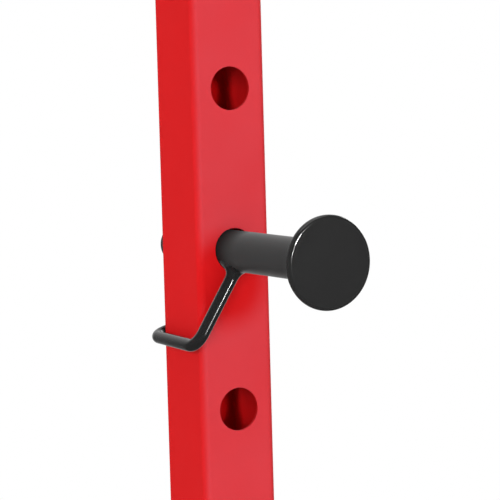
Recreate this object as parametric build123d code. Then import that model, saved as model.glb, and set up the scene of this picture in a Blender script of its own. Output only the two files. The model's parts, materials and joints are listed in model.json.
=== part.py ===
"""A power cage: a bolted square-tube lifting frame with turn-in bar catches and sliding safety bars.

Millimetres. X runs across the cage, Y from the front (-Y) to the back, Z up.
The origin is on the floor, under the middle of the cage.
"""
import os
from math import floor

from build123d import *

os.makedirs("parts", exist_ok=True)

# Square steel tube of the frame
tube_side = 50.8
tube_wall = 2.0
tube_corner_radius = 4.4

# Frame spans between the centres of the uprights, and tube lengths
frame_width = 1168.4
frame_depth = 762.0
upright_length = 2010.0
runner_overhang = 181.0
rail_overhang = 181.0

# Row of peg holes through the front and back faces of each upright
peg_hole_diameter = 27.0
peg_hole_pitch = 100.0
peg_hole_end_margin = 155.0
hole_count_above_catch = 5
hole_count_above_safety = 10

# Gusset plates that join the uprights to the runners and rails
plate_thickness = 5.0
gusset_leg = 130.0
gusset_corner_radius = 8.0
gusset_bolt_near = 35.0
gusset_bolt_far = 100.0

# Pull-up bars and cross tubes between the two sides
thick_bar_diameter = 50.0
thin_bar_diameter = 32.0
round_bar_wall = 2.5
thin_bar_setback = 120.0
end_plate_length = 110.0
end_plate_bolt_span = 76.0

# Hexagon bolts, flat washers and lock nuts
bolt_diameter = 10.0
bolt_hole_clearance = 1.0
bolt_head_height = 6.4
hexagon_across_flats = 17.0
hexagon_chamfer = 1.0
washer_diameter = 20.0
washer_thickness = 2.0
washer_hole_clearance = 0.5
nut_height = 8.0
nut_collar_height = 2.5
nut_collar_diameter = 14.5
thread_clearance = 0.2
bolt_tip_length = 3.0
bolt_tip_chamfer = 1.0

# Plastic end caps and rubber feet
cap_thickness = 3.0
cap_edge_radius = 1.5
cap_plug_depth = 18.0
cap_plug_wall = 2.0
cap_plug_clearance = 0.3
foot_thickness = 6.0
foot_length = 90.0
foot_width = 46.0
foot_inset = 20.0
foot_corner_radius = 6.0

# Round peg of the bar catches, and the disc on its end
peg_diameter = 25.4
peg_seat_gap = 0.2
peg_reach = 110.0
peg_tail = 27.5
peg_tail_chamfer = 3.0
disc_diameter = 56.0
disc_thickness = 4.0
disc_front_radius = 2.0
disc_back_radius = 1.0

# Bent wire that locks a bar catch round the left side of its upright
wire_diameter = 7.7
wire_root_offset = 3.5
wire_bite = 6.0
wire_drop = 57.0
wire_rear_rise = 0.8
wire_face_gap = 1.85
wire_side_gap_front = 2.45
wire_side_gap_rear = 0.65
wire_rear_gap = 0.95
wire_hook_reach = 24.0
wire_hook_rise = 6.5
weld_length = 10.0
weld_toe_step = 0.1
weld_waist_radius = 5.0
weld_top_radius = 9.0
weld_bite = 4.0
weld_face_gap = 0.4

# Safety bars that run through the uprights from front to back
safety_wall = 3.0
safety_standoff = 14.0
safety_tail = 30.0
plug_head = 4.0
plug_depth = 20.0
plug_clearance = 0.2

# Levels and faces that the pieces share
runner_bottom = foot_thickness
runner_middle = runner_bottom + tube_side / 2
upright_bottom = runner_bottom + tube_side
upright_top = upright_bottom + upright_length
rail_middle = upright_top + tube_side / 2
rail_top = upright_top + tube_side
side_middle = frame_width / 2
side_inner_face = side_middle - tube_side / 2
side_outer_face = side_middle + tube_side / 2
cross_length = 2 * (side_inner_face - plate_thickness)
end_middle = frame_depth / 2
end_face = end_middle + tube_side / 2
runner_length = 2 * (end_face + runner_overhang)
rail_length = 2 * end_face + rail_overhang
peg_hole_count = floor((upright_length - 2 * peg_hole_end_margin) / peg_hole_pitch) + 1
peg_hole_first = upright_bottom + (upright_length - (peg_hole_count - 1) * peg_hole_pitch) / 2
peg_hole_heights = [peg_hole_first + peg_hole_pitch * row for row in range(peg_hole_count)]
catch_height = peg_hole_heights[peg_hole_count - 1 - hole_count_above_catch]
safety_height = peg_hole_heights[peg_hole_count - 1 - hole_count_above_safety]
peg_sag = (peg_hole_diameter - peg_diameter) / 2 - peg_seat_gap
bolt_hole_diameter = bolt_diameter + bolt_hole_clearance
gusset_reach = tube_side + gusset_leg
drill_length = 2 * tube_side
sides = {"left": -1, "right": 1}
ends = {"front": -1, "rear": 1}
levels = {"base": 1, "top": -1}


def save(name, *solids):
    """Writes one node, with one or more separate solids."""
    shape = solids[0] if len(solids) == 1 else Compound(children=list(solids))
    export_step(shape, f"parts/{name}.step")


def square_tube(length):
    """A tube that stands on the origin and runs up Z."""
    bore = tube_side - 2 * tube_wall
    bore_radius = max(tube_corner_radius - tube_wall, tube_corner_radius / 4)
    outside = extrude(RectangleRounded(tube_side, tube_side, tube_corner_radius), amount=length)
    return outside - extrude(RectangleRounded(bore, bore, bore_radius), amount=length)


def round_tube(diameter, wall, length):
    """A tube centred on the origin, along X."""
    outside = Cylinder(diameter / 2, length)
    return Rot(0, 90, 0) * (outside - Cylinder(diameter / 2 - wall, length))


def drill_x(y, z, diameter, x=0.0, length=drill_length):
    """A drill along X, for a bolt hole."""
    return Pos(x, y, z) * Rot(0, 90, 0) * Cylinder(diameter / 2, length)


def drill_y(x, z, y, diameter):
    """A drill along Y, for a peg hole."""
    return Pos(x, y, z) * Rot(90, 0, 0) * Cylinder(diameter / 2, drill_length)


def corner_point(end, level, inward, upward):
    """The (y, z) place of a point given from the outer corner of a frame joint."""
    y = end * (end_face - inward)
    z = runner_bottom + upward if level > 0 else rail_top - upward
    return y, z


def gusset_bolt_points(end, level):
    """Two bolts up the upright and two along the runner or rail, as (y, z) places."""
    along = [tube_side + gusset_bolt_near, tube_side + gusset_bolt_far]
    upright_bolts = [corner_point(end, level, tube_side / 2, step) for step in along]
    return upright_bolts + [corner_point(end, level, step, tube_side / 2) for step in along]


def end_plate_bolt_points():
    """The two bolts of the thin bar's end plate, as (y, z) places."""
    middle = -end_face - thin_bar_setback
    half_span = end_plate_bolt_span / 2
    return [(middle - half_span, rail_middle), (middle + half_span, rail_middle)]


def gusset_plate(end, level, x_low):
    """A five-sided plate that covers one frame joint, from x_low outward along +X."""
    corners = [
        (0, 0),
        (gusset_reach, 0),
        (gusset_reach, tube_side),
        (tube_side, gusset_reach),
        (0, gusset_reach),
    ]
    places = [corner_point(end, level, inward, upward) for inward, upward in corners]
    outline = make_face(Polyline(*places, close=True))
    outline = fillet(outline.vertices(), gusset_corner_radius)
    plate = extrude(Plane.YZ * outline, amount=plate_thickness, dir=(1, 0, 0))
    plate -= [drill_x(y, z, bolt_hole_diameter) for y, z in gusset_bolt_points(end, level)]
    return Pos(x_low, 0, 0) * plate


def plate_start(side, outer):
    """The lower X of a plate on the outer or inner face of one side of the frame."""
    if outer:
        return side_outer_face if side > 0 else -side_outer_face - plate_thickness
    return side_inner_face - plate_thickness if side > 0 else -side_inner_face


def upright(side, end):
    """One of the four posts, with its peg holes and the bolt holes of its two joints."""
    x = side * side_middle
    y = end * end_middle
    post = Pos(x, y, upright_bottom) * square_tube(upright_length)
    bolt_points = [point for level in levels.values() for point in gusset_bolt_points(end, level)[:2]]
    peg_drills = [drill_y(x, height, y, peg_hole_diameter) for height in peg_hole_heights]
    bolt_drills = [drill_x(bolt_y, bolt_z, bolt_hole_diameter, x) for bolt_y, bolt_z in bolt_points]
    return post - (peg_drills + bolt_drills)


def base_runner(side):
    """A floor tube from front to back under two uprights."""
    x = side * side_middle
    tube = Pos(x, -runner_length / 2, runner_middle) * Rot(-90, 0, 0) * square_tube(runner_length)
    points = [point for end in ends.values() for point in gusset_bolt_points(end, levels["base"])[2:]]
    return tube - [drill_x(y, z, bolt_hole_diameter, x) for y, z in points]


def top_rail(side):
    """A tube over two uprights that reaches out in front to carry the thin pull-up bar."""
    x = side * side_middle
    tube = Pos(x, -end_face - rail_overhang, rail_middle) * Rot(-90, 0, 0) * square_tube(rail_length)
    points = [point for end in ends.values() for point in gusset_bolt_points(end, levels["top"])[2:]]
    points += end_plate_bolt_points()
    return tube - [drill_x(y, z, bolt_hole_diameter, x) for y, z in points]


def cross_tube(z):
    """A square tube between the two rear flanges."""
    return Pos(-cross_length / 2, end_middle, z) * Rot(0, 90, 0) * square_tube(cross_length)


def end_plate(side):
    """The plate on the thin bar's end, bolted to the rail's inner face."""
    middle = -end_face - thin_bar_setback
    blank = Plane.YZ * RectangleRounded(end_plate_length, tube_side, gusset_corner_radius)
    plate = Pos(0, middle, rail_middle) * extrude(blank, amount=plate_thickness, dir=(1, 0, 0))
    plate -= [drill_x(y, z, bolt_hole_diameter) for y, z in end_plate_bolt_points()]
    return Pos(plate_start(side, outer=False), 0, 0) * plate


def end_cap():
    """A cap that closes a tube's end at the origin: a flat head above, a hollow plug below."""
    head = extrude(RectangleRounded(tube_side, tube_side, tube_corner_radius), amount=cap_thickness)
    head = fillet(head.faces().sort_by(Axis.Z)[-1].edges(), cap_edge_radius)
    plug_side = tube_side - 2 * tube_wall - 2 * cap_plug_clearance
    plug_radius = max(tube_corner_radius - tube_wall - cap_plug_clearance, tube_corner_radius / 4)
    hollow_side = plug_side - 2 * cap_plug_wall
    plug = extrude(RectangleRounded(plug_side, plug_side, plug_radius), amount=-cap_plug_depth)
    plug -= extrude(Rectangle(hollow_side, hollow_side), amount=-cap_plug_depth)
    return head + plug


def tube_end_cap(side, end, y, z):
    """An end cap in the end of a runner or rail, facing out."""
    return Pos(side * side_middle, y, z) * Rot(-90 * end, 0, 0) * end_cap()


def foot(side, end):
    """A rubber pad under the end of a runner."""
    pad = extrude(RectangleRounded(foot_width, foot_length, foot_corner_radius), amount=foot_thickness)
    middle = end * (runner_length / 2 - foot_inset - foot_length / 2)
    return Pos(side * side_middle, middle, 0) * pad


def hexagon(height, chamfered_ends):
    """A hexagon from the origin up Z, with its corners turned off at the named ends."""
    across_corners = RegularPolygon(hexagon_across_flats / 2, 6, major_radius=False)
    prism = extrude(across_corners, amount=height)
    turned_radius = hexagon_across_flats / 3**0.5
    turned = Pos(0, 0, height / 2) * Cylinder(turned_radius, height)
    rims = turned.edges().filter_by(GeomType.CIRCLE).sort_by(Axis.Z)
    turned = chamfer([rims[index] for index in chamfered_ends], hexagon_chamfer)
    return prism & turned


def bolt(grip):
    """A bolt with its head's bearing face on the origin and its shank down Z."""
    length = grip + nut_height + nut_collar_height + bolt_tip_length
    shank = Pos(0, 0, -length / 2) * Cylinder(bolt_diameter / 2, length)
    shank = chamfer(shank.edges().filter_by(GeomType.CIRCLE).sort_by(Axis.Z)[0], bolt_tip_chamfer)
    return shank + hexagon(bolt_head_height, [-1])


def washer():
    """A flat washer that lies on the origin."""
    ring = Cylinder(washer_diameter / 2, washer_thickness)
    ring -= Cylinder((bolt_diameter + washer_hole_clearance) / 2, washer_thickness)
    return Pos(0, 0, washer_thickness / 2) * ring


def lock_nut():
    """A nut that lies on the origin, with its round locking collar above."""
    height = nut_height + nut_collar_height
    body = hexagon(nut_height, [0, -1])
    body += Pos(0, 0, height / 2) * Cylinder(nut_collar_diameter / 2, height)
    return body - Pos(0, 0, height / 2) * Cylinder((bolt_diameter + thread_clearance) / 2, height)


def save_fasteners(prefix, places, outer_face, inner_face):
    """Bolts with their heads outside, a washer on each face, and nuts inside the cage."""
    grip = outer_face - inner_face + 2 * washer_thickness
    stack = {
        "bolts": [(bolt(grip), outer_face + washer_thickness, 1)],
        "washers": [(washer(), outer_face, 1), (washer(), inner_face, -1)],
        "nuts": [(lock_nut(), inner_face - washer_thickness, -1)],
    }
    for kind, pieces in stack.items():
        copies = [
            Pos(side * seat, y, z) * Rot(0, 90 * side * facing, 0) * piece
            for side, (y, z) in places
            for piece, seat, facing in pieces
        ]
        save(f"{prefix}_{kind}", *copies)


def peg_disc():
    """The round disc on a peg's near end, with its back on the origin and its face to -Y."""
    blank = Cylinder(disc_diameter / 2, disc_thickness)
    rims = blank.edges().filter_by(GeomType.CIRCLE).sort_by(Axis.Z)
    blank = fillet(rims[-1], disc_front_radius)
    rims = blank.edges().filter_by(GeomType.CIRCLE).sort_by(Axis.Z)
    blank = fillet(rims[0], disc_back_radius)
    return Rot(90, 0, 0) * Pos(0, 0, disc_thickness / 2) * blank


def catch_peg():
    """A bar catch's round peg. The origin is the middle of the peg hole on the front face."""
    length = peg_reach + tube_side + peg_tail
    rod = Pos(0, 0, -length / 2) * Cylinder(peg_diameter / 2, length)
    rod = chamfer(rod.edges().filter_by(GeomType.CIRCLE).sort_by(Axis.Z)[0], peg_tail_chamfer)
    return Pos(0, -peg_reach, -peg_sag) * Rot(90, 0, 0) * rod


def weld_flare(root, downward, toe_radius):
    """The hollow flare of weld metal that widens from its toe on the wire up to the peg."""
    toe = Plane(origin=root + downward * weld_length, z_dir=-downward)
    waist = Plane(origin=root + downward * weld_length / 3, z_dir=Vector(0, 0, 1) - downward)
    top = Plane(origin=root + Vector(0, 0, weld_bite), z_dir=(0, 0, 1))
    rings = [toe * Circle(toe_radius), waist * Circle(weld_waist_radius), top * Circle(weld_top_radius)]
    return loft(rings)


def catch_latch():
    """The latch wire: down across the front face, back along the left side, and in behind."""
    wire_radius = wire_diameter / 2
    front_y = -wire_face_gap - wire_radius
    front_x = -tube_side / 2 - wire_side_gap_front - wire_radius
    rear_x = -tube_side / 2 - wire_side_gap_rear - wire_radius
    rear_y = tube_side + wire_rear_gap + wire_radius
    bend_radius = tube_corner_radius + wire_rear_gap + wire_radius
    front_z = -peg_sag - wire_drop
    rear_z = front_z + wire_rear_rise
    root = Vector(-wire_root_offset, front_y, -peg_sag - peg_diameter / 2)
    elbow = Vector(front_x, front_y, front_z)
    heel = Vector(rear_x, rear_y, rear_z)
    tip = Vector(rear_x + wire_hook_reach, rear_y, rear_z + wire_hook_rise)
    downward = (elbow - root).normalized()
    start = root - downward * wire_bite
    route = FilletPolyline(start, elbow, heel, tip, radius=bend_radius)
    wire = sweep(Plane(origin=start, z_dir=downward) * Circle(wire_radius), path=route)
    weld = weld_flare(root, downward, wire_radius + weld_toe_step)
    behind_face = Pos(0, tube_side / 2 - weld_face_gap, 0) * Box(drill_length, tube_side, drill_length)
    peg = Pos(0, 0, -peg_sag) * Rot(90, 0, 0) * Cylinder(peg_diameter / 2, drill_length)
    return wire + (weld - behind_face) - peg


def safety_tube():
    """A safety bar's tube, through all four walls, from its disc to its plugged tail."""
    length = safety_standoff + 2 * end_face + safety_tail
    tube = Rot(0, 0, 90) * round_tube(peg_diameter, safety_wall, length)
    return Pos(0, length / 2 - safety_standoff, -peg_sag) * tube


def tail_plug():
    """The plastic plug in a safety bar's tail, with its head's seat on the origin, facing +Y."""
    plug_radius = peg_diameter / 2 - safety_wall - plug_clearance
    head = Pos(0, 0, plug_head / 2) * Cylinder(peg_diameter / 2, plug_head)
    head = fillet(head.edges().filter_by(GeomType.CIRCLE).sort_by(Axis.Z)[-1], plug_head / 2)
    stem = Pos(0, 0, -plug_depth / 2) * Cylinder(plug_radius, plug_depth)
    return Rot(-90, 0, 0) * (head + stem)


# Frame tubes
for side_name, side in sides.items():
    for end_name, end in ends.items():
        save(f"upright_{end_name}_{side_name}", upright(side, end))
    save(f"base_runner_{side_name}", base_runner(side))
    save(f"top_rail_{side_name}", top_rail(side))

# Cross tubes and pull-up bars, with the flanges and end plates welded to their ends
save("rear_base_crossmember", cross_tube(runner_middle))
save("rear_top_crossmember", cross_tube(rail_middle))
thick_bar = round_tube(thick_bar_diameter, round_bar_wall, cross_length)
save("thick_pull_up_bar", Pos(0, -end_middle, rail_middle) * thick_bar)
thin_bar = round_tube(thin_bar_diameter, round_bar_wall, cross_length)
save("thin_pull_up_bar", Pos(0, -end_face - thin_bar_setback, rail_middle) * thin_bar)
for side_name, side in sides.items():
    inner = plate_start(side, outer=False)
    save(f"rear_base_flange_{side_name}", gusset_plate(ends["rear"], levels["base"], inner))
    save(f"rear_top_flange_{side_name}", gusset_plate(ends["rear"], levels["top"], inner))
    save(f"thick_bar_flange_{side_name}", gusset_plate(ends["front"], levels["top"], inner))
    save(f"thin_bar_end_plate_{side_name}", end_plate(side))
    save(f"inner_gusset_front_base_{side_name}", gusset_plate(ends["front"], levels["base"], inner))

# Outer gusset plates
for side_name, side in sides.items():
    outer = plate_start(side, outer=True)
    for end_name, end in ends.items():
        for level_name, level in levels.items():
            plate = gusset_plate(end, level, outer)
            save(f"outer_gusset_{end_name}_{level_name}_{side_name}", plate)

# End caps and feet
for side_name, side in sides.items():
    runner_caps = [tube_end_cap(side, end, end * runner_length / 2, runner_middle) for end in ends.values()]
    save(f"runner_end_caps_{side_name}", *runner_caps)
    rail_front_cap = tube_end_cap(side, ends["front"], -end_face - rail_overhang, rail_middle)
    rail_rear_cap = tube_end_cap(side, ends["rear"], end_face, rail_middle)
    save(f"rail_end_caps_{side_name}", rail_front_cap, rail_rear_cap)
    for end_name, end in ends.items():
        save(f"foot_{end_name}_{side_name}", foot(side, end))

# Fasteners
gusset_outer = side_outer_face + plate_thickness
plated_inner = side_inner_face - plate_thickness
gusset_places = [
    (side, point)
    for side in sides.values()
    for end in ends.values()
    for level in levels.values()
    for point in gusset_bolt_points(end, level)
]
end_plate_places = [(side, point) for side in sides.values() for point in end_plate_bolt_points()]
save_fasteners("gusset", gusset_places, gusset_outer, plated_inner)
save_fasteners("end_plate", end_plate_places, side_outer_face, plated_inner)

# Bar catches and safety bars on the front uprights
for side_name, side in sides.items():
    catch_place = Pos(side * side_middle, -end_face, catch_height)
    save(f"bar_catch_peg_{side_name}", catch_place * catch_peg())
    save(f"bar_catch_disc_{side_name}", catch_place * Pos(0, -peg_reach, -peg_sag) * peg_disc())
    save(f"bar_catch_latch_{side_name}", catch_place * catch_latch())
    safety_place = Pos(side * side_middle, -end_face, safety_height)
    save(f"safety_bar_tube_{side_name}", safety_place * safety_tube())
    save(f"safety_bar_disc_{side_name}", safety_place * Pos(0, -safety_standoff, -peg_sag) * peg_disc())
    tail_seat = Pos(0, 2 * end_face + safety_tail, -peg_sag)
    save(f"safety_bar_plug_{side_name}", safety_place * tail_seat * tail_plug())
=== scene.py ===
"""The looks of a power cage: powder-coated square tube, glossy black bar catches, zinc fasteners.

Metres. X runs across the cage, Y from the front (-Y) to the back, Z up. The origin is on the floor.
"""
import json
from math import atan2, cos, pi, radians, sin, sqrt, tan

import bmesh
import bpy
from mathutils import Matrix, Quaternion, Vector

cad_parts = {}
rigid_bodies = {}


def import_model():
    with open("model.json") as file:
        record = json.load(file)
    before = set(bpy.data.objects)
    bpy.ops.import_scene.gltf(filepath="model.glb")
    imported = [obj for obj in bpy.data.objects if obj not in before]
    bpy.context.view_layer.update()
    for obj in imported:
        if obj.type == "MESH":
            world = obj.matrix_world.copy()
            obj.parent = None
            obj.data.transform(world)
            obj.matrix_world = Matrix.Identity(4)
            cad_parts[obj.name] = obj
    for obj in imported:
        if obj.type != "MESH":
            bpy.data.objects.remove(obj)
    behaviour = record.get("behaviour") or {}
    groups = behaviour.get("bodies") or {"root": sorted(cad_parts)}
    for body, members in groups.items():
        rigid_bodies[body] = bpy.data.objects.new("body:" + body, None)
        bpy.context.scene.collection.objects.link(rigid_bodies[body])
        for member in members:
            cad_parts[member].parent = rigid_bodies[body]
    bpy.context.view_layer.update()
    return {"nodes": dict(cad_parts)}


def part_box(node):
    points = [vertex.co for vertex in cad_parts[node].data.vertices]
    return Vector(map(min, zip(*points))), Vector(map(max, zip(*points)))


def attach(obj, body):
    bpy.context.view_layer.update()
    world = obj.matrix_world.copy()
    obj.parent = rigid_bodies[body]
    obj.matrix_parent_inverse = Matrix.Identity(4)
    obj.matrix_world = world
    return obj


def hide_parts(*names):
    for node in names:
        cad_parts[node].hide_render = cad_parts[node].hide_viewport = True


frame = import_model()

scene = bpy.context.scene
nodes_of_cad = frame["nodes"]
rightward = Vector((1.0, 0.0, 0.0))
backward = Vector((0.0, 1.0, 0.0))
upward = Vector((0.0, 0.0, 1.0))

# Colours, as linear values
red_paint = (0.655, 0.0045, 0.0062)
black_gloss = (0.0175, 0.0175, 0.0177)
# A lighter copy of the catch's black paint for the peg: painted light for the grey it reflects
black_peg_painted_light = (0.041, 0.041, 0.041)
# A lighter copy of the same black paint for the disc: painted light for the grey it reflects
black_disc_painted_light = (0.0240, 0.0240, 0.0240)
black_satin = (0.012, 0.012, 0.013)
zinc_light = (0.62, 0.63, 0.65)
zinc_dark = (0.47, 0.48, 0.50)
cap_black = (0.016, 0.016, 0.017)
rubber_black = (0.022, 0.021, 0.020)
floor_grey = (0.80, 0.80, 0.80)
full_white = (1.0, 1.0, 1.0)
sheen_blue = (0.8, 0.8, 1.0)

# Noise in the materials, with its scale per metre, the part of its range that counts and what it does
noise_low = 0.3
noise_high = 0.7
coat_clouds = {"scale": 9.0, "detail": 4.0}
coat_cloud_shares = (0.975, 1.02)
coat_gloss = {"scale": 23.0, "detail": 6.0, "roughness": 0.6}
coat_peel = {"scale": 420.0, "detail": 2.0}
coat_grain = {"scale": 2600.0, "detail": 2.0}
coat_grain_share = 0.15
zinc_patches = {"scale": 160.0, "detail": 3.0}
zinc_gloss = {"scale": 700.0, "detail": 5.0}
zinc_roughness = (0.36, 0.52)
zinc_scratches = {"scale": 1800.0, "detail": 4.0}
zinc_scratch_depth = 0.00003
mould_clouds = {"scale": 40.0, "detail": 4.0}
mould_cloud_shares = (0.85, 1.15)
mould_gloss = {"scale": 300.0, "detail": 3.0}
mould_grain_detail = 3.0

# The photograph's camera, from the middle of the bar catch's hole on the front right upright
camera_offset = Vector((-0.69198, -1.24926, 0.12545))
camera_yaw = radians(29.37)
camera_pitch = radians(5.04)
camera_roll = radians(-1.587)
camera_reach = 200.0
focal_pixels = 2309.0
image_pixels = 500.0
sensor_width = 36.0

# A bar catch, from the middle of its hole on the upright's front face
peg_sag = 0.0006
peg_radius = 0.0127
wire_radius = 0.00385
wire_root = Vector((-0.0035, -0.0057, -0.0133))
wire_elbow = Vector((-0.0317, -0.0057, -0.0576))
wire_heel = Vector((-0.0299, 0.0556, -0.0568))
wire_tip = Vector((-0.0059, 0.0556, -0.0503))
wire_bend = 0.0092
wire_bite = 0.0050
wire_end_chamfer = 0.0007

# The weld between wire and peg: its mean size, how that swings from side to side,
# and the waves of its edge as (share of the width, count, start)
weld_height = 0.0060
weld_height_swing = 0.0008
weld_width = 0.0072
weld_width_swing = 0.0004
weld_waves = ((0.05, 5, 0.0), (0.03, 11, 1.0))
weld_face_gap = 0.0006
weld_in_wire = 0.3 * wire_radius
weld_in_peg = 0.001
weld_foot_share = 0.9

# Beads of weld round the joints of tubes and plates
tube_half = 0.0254
tube_wall = 0.0020
tube_corner = 0.0044
thick_bar_radius = 0.025
thin_bar_radius = 0.016
thick_bead_arc = (radians(213.0), radians(417.0))
tube_bead = 0.0045
disc_bead = 0.0020
bead_step = 0.0006
bead_end_share = 0.2
ripple_pitch = 0.0026
ripple_share = 0.06
bead_profile = (
    (-0.3, 1.0), (0.0, 1.0), (0.34, 0.82), (0.60, 0.60),
    (0.82, 0.34), (1.0, 0.0), (1.0, -0.3), (-0.3, -0.3),
)

# The floor fades into the background between two distances from the cage's middle
floor_radius = 14.0
floor_sides = 96
floor_roughness = 0.9
floor_specular = 0.1
floor_fade = (1.3, 4.2)

# The studio's brightness, and in gloss its rise towards the back
ambient = 0.29
gloss_front = 0.03
gloss_back = 0.68
gloss_backward = (0.5, 0.8, 0.33)
gloss_rise = (0.28, 1.0)

# What the top lamp is aimed at
cage_heart = Vector((0.0, 0.0, 1.6))


def hole_of_catch(side):
    """The middle of a bar catch's hole, on the front face of its upright."""
    post_low, post_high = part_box(f"upright_front_{side}")
    peg_low, peg_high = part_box(f"bar_catch_peg_{side}")
    height = (peg_low.z + peg_high.z) / 2 + peg_sag
    return Vector(((post_low.x + post_high.x) / 2, post_low.y, height))


catch_hole = hole_of_catch("right")

# Where shade is painted, as ranges of a coordinate's size: inside the uprights, and on the pegs in and
# near them
post_low, post_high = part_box("upright_front_right")
post_inside_shade = {
    "X": (post_low.x + tube_wall, post_high.x - tube_wall),
    "Y": (-post_high.y + tube_wall, -post_low.y - tube_wall),
}
peg_painted_shade = {"Y": (-post_high.y, -post_low.y)}


def shade(colour, share=1.0):
    """A colour made lighter or darker by a share, with its alpha."""
    return (*(channel * share for channel in colour), 1.0)


class Nodes:
    """A node tree, with short calls for the nodes it needs."""

    def __init__(self, tree):
        self.tree = tree

    def node(self, kind, **settings):
        made = self.tree.nodes.new(kind)
        for key, value in settings.items():
            setattr(made, key, value)
        return made

    def feed(self, target, value):
        """Links another node's socket to the target, or sets a constant on it."""
        if isinstance(value, bpy.types.NodeSocket):
            self.tree.links.new(value, target)
        else:
            target.default_value = value

    def math(self, operation, *values, kind="ShaderNodeMath"):
        """The result of a sum on numbers, or on vectors with the vector kind of node."""
        made = self.node(kind, operation=operation)
        for target, value in zip(made.inputs, values):
            self.feed(target, value)
        return made.outputs["Value"]

    def ranged(self, source, low, high, source_low=noise_low, source_high=noise_high, curve="LINEAR"):
        """A value moved from one range to another and kept within it."""
        made = self.node("ShaderNodeMapRange", interpolation_type=curve)
        made.inputs["From Min"].default_value = source_low
        made.inputs["From Max"].default_value = source_high
        made.inputs["To Min"].default_value = low
        made.inputs["To Max"].default_value = high
        self.feed(made.inputs["Value"], source)
        return made.outputs["Result"]

    def mixed(self, kind, factor, first, second):
        made = self.node("ShaderNodeMix", data_type=kind)
        self.feed(made.inputs["Factor"], factor)
        self.feed(made.inputs["A"], first)
        self.feed(made.inputs["B"], second)
        return made.outputs["Result"]

    def mixed_shaders(self, factor, first, second):
        made = self.node("ShaderNodeMixShader")
        self.feed(made.inputs["Fac"], factor)
        self.feed(made.inputs[1], first)
        self.feed(made.inputs[2], second)
        return made.outputs["Shader"]

    def background(self, strength):
        """A white surround of a given strength."""
        made = self.node("ShaderNodeBackground")
        made.inputs["Color"].default_value = shade(full_white)
        self.feed(made.inputs["Strength"], strength)
        return made.outputs["Background"]

    def seen_directly(self, path):
        """One for what the camera sees, also through glass."""
        return self.math("MAXIMUM", path.outputs["Is Camera Ray"], path.outputs["Is Transmission Ray"])


class Material(Nodes):
    """A new material's node tree, with its surface shader."""

    def __init__(self, name):
        self.material = bpy.data.materials.new(name)
        self.material.use_nodes = True
        super().__init__(self.material.node_tree)
        self.surface = self.tree.nodes["Principled BSDF"]
        self.coordinates = self.node("ShaderNodeTexCoord").outputs["Object"]

    def set(self, **values):
        """Feeds sockets of the surface shader, named with _ for each space."""
        for key, value in values.items():
            self.feed(self.surface.inputs[key.replace("_", " ")], value)

    def noise(self, scale, detail, roughness=0.5):
        made = self.node("ShaderNodeTexNoise")
        made.inputs["Scale"].default_value = scale
        made.inputs["Detail"].default_value = detail
        made.inputs["Roughness"].default_value = roughness
        self.feed(made.inputs["Vector"], self.coordinates)
        return made.outputs["Fac"]

    def within(self, ranges, blur):
        """One where the size of each named coordinate lies in its range.

        It falls to nought over the width of the blur.
        """
        split = self.node("ShaderNodeSeparateXYZ")
        self.feed(split.inputs["Vector"], self.coordinates)
        inside = 1.0
        for axis, (low, high) in ranges.items():
            size = self.math("ABSOLUTE", split.outputs[axis])
            distance = self.math("ABSOLUTE", self.math("SUBTRACT", size, (low + high) / 2))
            half = (high - low) / 2
            near = self.ranged(distance, 1.0, 0.0, half, half + blur)
            inside = self.math("MULTIPLY", inside, near)
        return inside

    def bump(self, height, distance, under=None):
        """The normal of a relief, on top of another one if given."""
        made = self.node("ShaderNodeBump")
        made.inputs["Strength"].default_value = 1.0
        made.inputs["Distance"].default_value = distance
        self.feed(made.inputs["Height"], height)
        if under is not None:
            self.feed(made.inputs["Normal"], under)
        return made.outputs["Normal"]


def powder_coat(name, colour, roughness, peel, specular, painted_shade_ranges=None, painted_shade_share=1.0, blur=0.0002):
    """Sprayed and baked paint, with orange peel and faint clouds.

    In the given ranges it turns dull and its colour is darkened: painted shade, which fades out over
    the blur.
    """
    paint = Material(name)
    clouds = paint.ranged(paint.noise(**coat_clouds), 0.0, 1.0)
    dark, light = coat_cloud_shares
    coloured = paint.mixed("RGBA", clouds, shade(colour, dark), shade(colour, light))
    glossed = paint.ranged(paint.noise(**coat_gloss), *roughness)
    if painted_shade_ranges is not None:
        inside = paint.within(painted_shade_ranges, blur)
        coloured = paint.mixed("RGBA", inside, coloured, shade(colour, painted_shade_share))
        glossed = paint.mixed("FLOAT", inside, glossed, 1.0)
    peeled = paint.bump(paint.noise(**coat_peel), peel)
    grained = paint.bump(paint.noise(**coat_grain), peel * coat_grain_share, peeled)
    paint.set(Base_Color=coloured, Roughness=glossed, Normal=grained, Specular_IOR_Level=specular)
    return paint.material


def zinc_plate(name):
    """Bright zinc plate, with slightly uneven brightness and fine scratches."""
    zinc = Material(name)
    patches = zinc.ranged(zinc.noise(**zinc_patches), 0.0, 1.0)
    coloured = zinc.mixed("RGBA", patches, shade(zinc_dark), shade(zinc_light))
    glossed = zinc.ranged(zinc.noise(**zinc_gloss), *zinc_roughness)
    scratched = zinc.bump(zinc.noise(**zinc_scratches), zinc_scratch_depth)
    zinc.set(Base_Color=coloured, Roughness=glossed, Normal=scratched, Metallic=1.0)
    return zinc.material


def moulded(name, colour, roughness, grain_scale, grain_depth):
    """Moulded plastic or rubber with a fine grain."""
    stuff = Material(name)
    clouds = stuff.ranged(stuff.noise(**mould_clouds), 0.0, 1.0)
    dark, light = mould_cloud_shares
    coloured = stuff.mixed("RGBA", clouds, shade(colour, dark), shade(colour, light))
    glossed = stuff.ranged(stuff.noise(**mould_gloss), *roughness)
    grained = stuff.bump(stuff.noise(grain_scale, mould_grain_detail), grain_depth)
    stuff.set(Base_Color=coloured, Roughness=glossed, Normal=grained)
    return stuff.material


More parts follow.
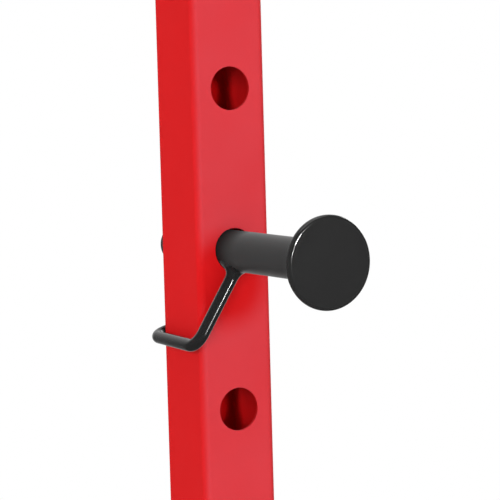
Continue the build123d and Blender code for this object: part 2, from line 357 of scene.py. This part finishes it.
# Finishes, by material slot or by name
finishes = {
    "frame_red": powder_coat(
        "red_powder_coat", red_paint, roughness=(0.72, 0.78), peel=0.00004, specular=0.25,
    ),
    # Inside the uprights the red is darker and dull: partly a thinner coat, partly painted shade in
    # the hollow of the tube
    "post_red": powder_coat(
        "red_post_coat_painted_shade", red_paint, roughness=(0.72, 0.78), peel=0.00004, specular=0.25,
        painted_shade_ranges=post_inside_shade, painted_shade_share=0.9,
    ),
    "catch_black": powder_coat(
        "black_gloss_coat", black_gloss, roughness=(0.14, 0.20), peel=0.00001, specular=0.75,
    ),
    # The peg's black is painted lighter for the grey it reflects, and darker in and near its upright:
    # painted shade of the upright
    "peg_black": powder_coat(
        "black_peg_coat_painted_light_and_shade", black_peg_painted_light, roughness=(0.26, 0.32), peel=0.00001, specular=0.22,
        painted_shade_ranges=peg_painted_shade, painted_shade_share=0.55, blur=0.022,
    ),
    # The disc's black is painted lighter than the wire's for the grey it reflects
    "disc_black": powder_coat(
        "black_disc_coat_painted_light", black_disc_painted_light, roughness=(0.08, 0.11), peel=0.000005, specular=0.75,
    ),
    "bar_black": powder_coat(
        "black_satin_coat", black_satin, roughness=(0.34, 0.46), peel=0.00006, specular=0.45,
    ),
    "fastener_zinc": zinc_plate("zinc_plate"),
    "cap_plastic": moulded(
        "cap_plastic", cap_black, roughness=(0.42, 0.55), grain_scale=2400.0, grain_depth=0.00005,
    ),
    "foot_rubber": moulded(
        "foot_rubber", rubber_black, roughness=(0.66, 0.82), grain_scale=1100.0, grain_depth=0.00012,
    ),
}

# Nodes whose finish isn't the one of their material slot
finish_of_prefix = {
    "upright": "post_red",
    "bar_catch_peg": "peg_black",
    "bar_catch_disc": "disc_black",
    "safety_bar_disc": "disc_black",
}


def finish_nodes():
    """Each node takes the finish of its material slot, or the one of its own.

    The red nodes stay out of the gloss of the others.
    """
    for name, node in nodes_of_cad.items():
        own = [finish for prefix, finish in finish_of_prefix.items() if name.startswith(prefix)]
        for slot in node.material_slots:
            node.visible_glossy = slot.material.name != "frame_red"
            slot.material = finishes[own[0] if own else slot.material.name]


def skin(name, rings, loop, body, finish, creases=()):
    """A piece over rings of points, each joined to the next, that rides on a body.

    It is smooth but for its creases, which run along the numbered points of the rings.
    """
    shell = bmesh.new()
    rows = [[shell.verts.new(point) for point in ring] for ring in rings]
    following = rows[1:] + rows[:1] if loop else rows[1:]
    for first, second in zip(rows, following):
        for index, corner in enumerate(first):
            face = shell.faces.new((first[index - 1], corner, second[index], second[index - 1]))
            face.smooth = True
        for index in creases:
            shell.edges.get((first[index], second[index])).smooth = False
    if not loop:
        for row in (rows[0], rows[-1]):
            for edge in shell.faces.new(row).edges:
                edge.smooth = False
    bmesh.ops.recalc_face_normals(shell, faces=shell.faces)
    mesh = bpy.data.meshes.new(name)
    shell.to_mesh(mesh)
    shell.free()
    mesh.materials.append(finishes[finish])
    piece = bpy.data.objects.new(name, mesh)
    scene.collection.objects.link(piece)
    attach(piece, body)
    return piece


def bend(before, corner, after, radius, steps=14):
    """Points round the bend of a wire at a corner of its route."""
    back = (before - corner).normalized()
    onward = (after - corner).normalized()
    half_angle = back.angle(onward) / 2
    reach = radius / tan(half_angle)
    middle = corner + (back + onward).normalized() * (radius / sin(half_angle))
    start = corner + back * reach - middle
    end = corner + onward * reach - middle
    axis = start.cross(end)
    sweep = start.angle(end)
    return [middle + Quaternion(axis, sweep * step / steps) @ start for step in range(steps + 1)]


def rings_along(route, radii, count=28):
    """Rings of points round a route, each turned as little as possible from the one before."""
    rings = []
    heading = (route[1] - route[0]).normalized()
    side = heading.orthogonal().normalized()
    turns = [2 * pi * step / count for step in range(count)]
    for index, point in enumerate(route):
        behind = route[max(index - 1, 0)]
        ahead = route[min(index + 1, len(route) - 1)]
        turned = (ahead - behind).normalized()
        side = heading.rotation_difference(turned) @ side
        heading = turned
        across = heading.cross(side)
        radius = radii[index]
        rings.append([point + (side * cos(turn) + across * sin(turn)) * radius for turn in turns])
    return rings


def latch_wire(side):
    """The bent wire of a bar catch's latch, from inside its peg to its tip behind the upright."""
    hole = hole_of_catch(side)
    downward = (wire_elbow - wire_root).normalized()
    hookward = (wire_tip - wire_heel).normalized()
    route = [wire_root - downward * wire_bite]
    route += bend(wire_root, wire_elbow, wire_heel, wire_bend)
    route += bend(wire_elbow, wire_heel, wire_tip, wire_bend)
    route += [wire_tip - hookward * wire_end_chamfer, wire_tip]
    radii = [wire_radius] * (len(route) - 1) + [wire_radius - wire_end_chamfer]
    rings = rings_along([hole + point for point in route], radii)
    wire = skin(f"latch_wire_{side}", rings, False, f"bar_catch_{side}", "catch_black")
    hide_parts(f"bar_catch_latch_{side}")


def latch_weld(side, steps=72, fillet_steps=9):
    """The hollow fillet of weld between a latch wire and the underside of its peg."""
    hole = hole_of_catch(side)
    peg_axis = Vector((0.0, 0.0, -peg_sag))
    downward = (wire_elbow - wire_root).normalized()
    leftward = backward.cross(downward)
    rings = []
    for step in range(steps):
        turn = 2 * pi * step / steps
        outward = leftward * cos(turn) + backward * sin(turn)

        # The corner where the wire's side runs into the round of the peg
        edge = wire_root + outward * wire_radius
        across = edge - peg_axis
        along = across.x * downward.x + across.z * downward.z
        excess = across.x ** 2 + across.z ** 2 - peg_radius ** 2
        corner = edge + downward * (sqrt(along ** 2 - excess) - along)

        # The fillet's size here, which stops short of the upright's face
        height = weld_height - weld_height_swing * cos(turn)
        uneven = 1.0 + sum(share * sin(count * turn + start) for share, count, start in weld_waves)
        width = (weld_width + weld_width_swing * cos(turn)) * uneven
        foot_angle = atan2(corner.x, -(corner.z + peg_sag))
        round_peg = outward.x * cos(foot_angle) + outward.z * sin(foot_angle)
        spread = sqrt(round_peg ** 2 + outward.y ** 2)
        if outward.y > 0.0:
            width = min(width, (-weld_face_gap - corner.y) * spread / outward.y)

        # From inside the wire, down the hollow to the peg, and back under the peg's surface
        inner = corner - outward * weld_in_wire
        ring = [inner + downward * height]
        for part in range(fillet_steps + 1):
            share = part / fillet_steps
            run = width * share ** 2 / spread
            angle = foot_angle + run * round_peg / peg_radius
            depth = corner.y + run * outward.y
            on_peg = Vector((peg_radius * sin(angle), depth, -peg_radius * cos(angle)))
            ring.append(peg_axis + on_peg + downward * height * (1 - share) ** 2)
        under_foot = Vector((weld_foot_share * on_peg.x, on_peg.y, weld_foot_share * on_peg.z))
        ring.append(peg_axis + under_foot)
        ring.append(inner - downward * weld_in_peg)
        rings.append([hole + point for point in ring])
    creases = (1, fillet_steps + 1)
    skin(f"latch_weld_{side}", rings, True, f"bar_catch_{side}", "catch_black", creases)


def round_line(centre, first, second, radius, start=0.0, end=2 * pi):
    """Points along a round tube's outline or an arc of it, with their outward directions."""
    count = round((end - start) * radius / bead_step)
    turns = [start + (end - start) * step / count for step in range(count)]
    outwards = [first * cos(turn) + second * sin(turn) for turn in turns]
    return [(centre + outward * radius, outward) for outward in outwards]


def corner_line(centre, first, second, half, corner):
    """Points along two neighbouring sides of a square tube, with their outward directions."""
    flat = half - corner
    flat_count = round(2 * flat / bead_step)
    corner_count = round(pi / 2 * corner / bead_step)
    stations = []
    for step in range(flat_count):
        shift = 2 * flat * step / flat_count - flat
        stations.append((centre + first * half + second * shift, first))
    for step in range(corner_count):
        turn = pi / 2 * step / corner_count
        outward = first * cos(turn) + second * sin(turn)
        stations.append((centre + (first + second) * flat + outward * corner, outward))
    for step in range(flat_count + 1):
        shift = flat - 2 * flat * step / flat_count
        stations.append((centre + second * half + first * shift, second))
    return stations


def weld_bead(name, stations, along, size, body, finish, loop=True):
    """A rippled bead of weld in the corner between a tube and a plate.

    It tapers at its ends, if it has any.
    """
    points = [point for point, outward in stations]
    lengths = [(point - points[index - 1]).length for index, point in enumerate(points)]
    if not loop:
        lengths[0] = 0.0
    total = sum(lengths)
    ripples = 2 * pi * round(total / ripple_pitch) / total
    run = 0.0
    rings = []
    for length, (point, outward) in zip(lengths, stations):
        run += length
        swell = size * (1.0 + ripple_share * sin(ripples * run))
        if not loop:
            swell *= sqrt(min(1.0, bead_end_share + min(run, total - run) / size))
        rings.append([point + (outward * out + along * up) * swell for out, up in bead_profile])
    skin(name, rings, loop, body, finish)


def tube_end(node, inward):
    """The middle of a cross tube's left or right end."""
    low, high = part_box(node)
    x = low.x if inward > 0.0 else high.x
    return Vector((x, (low.y + high.y) / 2, (low.z + high.z) / 2))


def tube_welds():
    """Beads at both ends of the crossmembers and the pull-up bars.

    They run wherever a flange or end plate stands out beside the tube.
    """
    open_sides = {"rear_base_crossmember": upward, "rear_top_crossmember": -upward}
    for side, inward in (("left", 1.0), ("right", -1.0)):
        along = rightward * inward
        for node, open_side in open_sides.items():
            centre = tube_end(node, inward)
            line = corner_line(centre, -backward, open_side, tube_half, tube_corner)
            name = f"weld_{node}_{side}"
            weld_bead(name, line, along, tube_bead, "frame", "frame_red", loop=False)
        centre = tube_end("thick_pull_up_bar", inward)
        line = round_line(centre, backward, upward, thick_bar_radius, *thick_bead_arc)
        name = f"weld_thick_pull_up_bar_{side}"
        weld_bead(name, line, along, tube_bead, "frame", "bar_black", loop=False)
        centre = tube_end("thin_pull_up_bar", inward)
        line = round_line(centre, backward, upward, thin_bar_radius)
        weld_bead(f"weld_thin_pull_up_bar_{side}", line, along, tube_bead, "frame", "bar_black")


def disc_welds(side):
    """Beads round the pegs of a bar catch and a safety bar, behind their discs."""
    for body, peg in (("bar_catch", "bar_catch_peg"), ("safety_bar", "safety_bar_tube")):
        low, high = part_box(f"{peg}_{side}")
        centre = Vector(((low.x + high.x) / 2, low.y, (low.z + high.z) / 2))
        line = round_line(centre, rightward, upward, peg_radius)
        name = f"weld_{body}_{side}_disc"
        weld_bead(name, line, backward, disc_bead, f"{body}_{side}", "catch_black")


def pale_floor():
    """A pale floor that takes the cage's shadow and fades into the white background."""
    bpy.ops.mesh.primitive_circle_add(vertices=floor_sides, radius=floor_radius, fill_type="NGON")
    floor = bpy.context.object
    floor.name = "floor"
    floor.visible_glossy = False
    ground = Material("pale_floor")
    ground.set(
        Base_Color=shade(floor_grey), Roughness=floor_roughness, Specular_IOR_Level=floor_specular,
    )
    distance = ground.math("LENGTH", ground.coordinates, kind="ShaderNodeVectorMath")
    far = ground.ranged(distance, 0.0, 1.0, *floor_fade, curve="SMOOTHSTEP")
    seen = ground.seen_directly(ground.node("ShaderNodeLightPath"))
    glow = ground.node("ShaderNodeEmission")
    glow.inputs["Color"].default_value = shade(full_white)
    faded = ground.mixed_shaders(
        ground.math("MULTIPLY", far, seen), ground.surface.outputs["BSDF"], glow.outputs["Emission"],
    )
    ground.feed(ground.tree.nodes["Material Output"].inputs["Surface"], faded)
    floor.data.materials.append(ground.material)


def white_world():
    """White where the camera sees it, softer where it lights the cage.

    In the gloss of the cage it is dim in front and brighter behind.
    """
    scene.world = bpy.data.worlds.new("studio")
    scene.world.use_nodes = True
    studio = Nodes(scene.world.node_tree)
    studio.tree.nodes.clear()
    path = studio.node("ShaderNodeLightPath")
    direction = studio.node("ShaderNodeTexCoord").outputs["Generated"]
    behind = studio.math("DOT_PRODUCT", direction, gloss_backward, kind="ShaderNodeVectorMath")
    rise = studio.ranged(behind, gloss_front, gloss_back, *gloss_rise, curve="SMOOTHSTEP")
    lighting = studio.mixed_shaders(
        path.outputs["Is Glossy Ray"], studio.background(ambient), studio.background(rise),
    )
    shown = studio.mixed_shaders(studio.seen_directly(path), lighting, studio.background(1.0))
    studio.feed(studio.node("ShaderNodeOutputWorld").inputs["Surface"], shown)


def soft_lamp(name, direction, distance, size, radiance, target=catch_hole, matt=True, gloss=True):
    """A soft box of an even brightness, aimed at the target and out of the camera's sight."""
    width, height = size
    lamp = bpy.data.lights.new(name, "AREA")
    lamp.shape = "RECTANGLE"
    lamp.size = width
    lamp.size_y = height
    lamp.energy = radiance * pi * width * height
    holder = bpy.data.objects.new(name, lamp)
    scene.collection.objects.link(holder)
    away = Vector(direction).normalized()
    holder.location = target + away * distance
    holder.rotation_euler = (-away).to_track_quat("-Z", "Y").to_euler()
    holder.visible_camera = False
    holder.visible_diffuse = matt
    holder.visible_glossy = gloss
    return holder


def group_with(*names):
    """A group of the pieces that have one of the named finishes."""
    materials = [finishes[name] for name in names]
    group = bpy.data.collections.new("_".join(names))
    for piece in scene.objects:
        if piece.type == "MESH" and piece.active_material in materials:
            group.objects.link(piece)
    return group


def studio_lamps():
    """Front lamps for the matt paint, the black gloss and the red sheen, and soft ones all round."""
    red_pieces = group_with("frame_red", "post_red")
    glossy_pieces = group_with("catch_black", "disc_black")
    key = soft_lamp(
        "front_key", (-0.104, -0.989, 0.105),
        distance=5.0, size=(0.4, 0.4), radiance=175.0, gloss=False,
    )
    key.light_linking.blocker_collection = red_pieces
    streak = soft_lamp(
        "front_streak", (0.309, -0.951, 0.026),
        distance=5.0, size=(0.5, 0.5), radiance=130.0, matt=False,
    )
    streak.light_linking.receiver_collection = glossy_pieces
    sheen = soft_lamp(
        "front_sheen", (0.052, -0.985, 0.156),
        distance=5.0, size=(0.8, 0.7), radiance=500.0, matt=False,
    )
    sheen.light_linking.receiver_collection = red_pieces
    sheen.data.color = sheen_blue
    soft_lamp(
        "front_left_lamp", (-0.70, -0.69, 0.17),
        distance=6.0, size=(2.0, 2.2), radiance=8.5, gloss=False,
    )
    soft_lamp(
        "front_right_lamp", (0.75, -0.63, 0.20),
        distance=6.0, size=(2.4, 2.4), radiance=0.8, gloss=False,
    )
    soft_lamp(
        "back_left_lamp", (-0.80, 0.56, 0.20),
        distance=6.0, size=(2.4, 2.4), radiance=9.6, gloss=False,
    )
    soft_lamp(
        "right_lamp", (0.85, 0.50, 0.30),
        distance=6.0, size=(2.0, 2.4), radiance=6.0,
    )
    soft_lamp(
        "top_lamp", (0.1, -0.25, 1.0),
        distance=3.2, size=(3.0, 3.0), radiance=1.0, target=cage_heart,
    )


def photo_camera():
    """The camera of the photograph: before the bar catch, a little above it and to its left."""
    level = Vector((sin(camera_yaw), cos(camera_yaw), 0.0))
    forward = level * cos(camera_pitch) - upward * sin(camera_pitch)
    level_right = Vector((cos(camera_yaw), -sin(camera_yaw), 0.0))
    level_up = level_right.cross(forward)
    right = level_right * cos(camera_roll) + level_up * sin(camera_roll)
    up = level_up * cos(camera_roll) - level_right * sin(camera_roll)
    lens = bpy.data.cameras.new("photo_camera")
    lens.sensor_width = sensor_width
    lens.lens = focal_pixels * sensor_width / image_pixels
    lens.clip_end = camera_reach
    holder = bpy.data.objects.new("photo_camera", lens)
    scene.collection.objects.link(holder)
    turn = Matrix((right, up, -forward)).transposed().to_4x4()
    holder.matrix_world = Matrix.Translation(catch_hole + camera_offset) @ turn
    scene.camera = holder


finish_nodes()
for side in ("left", "right"):
    latch_wire(side)
    latch_weld(side)
    disc_welds(side)
tube_welds()
pale_floor()
white_world()
studio_lamps()
photo_camera()
scene.view_settings.view_transform = "Standard"
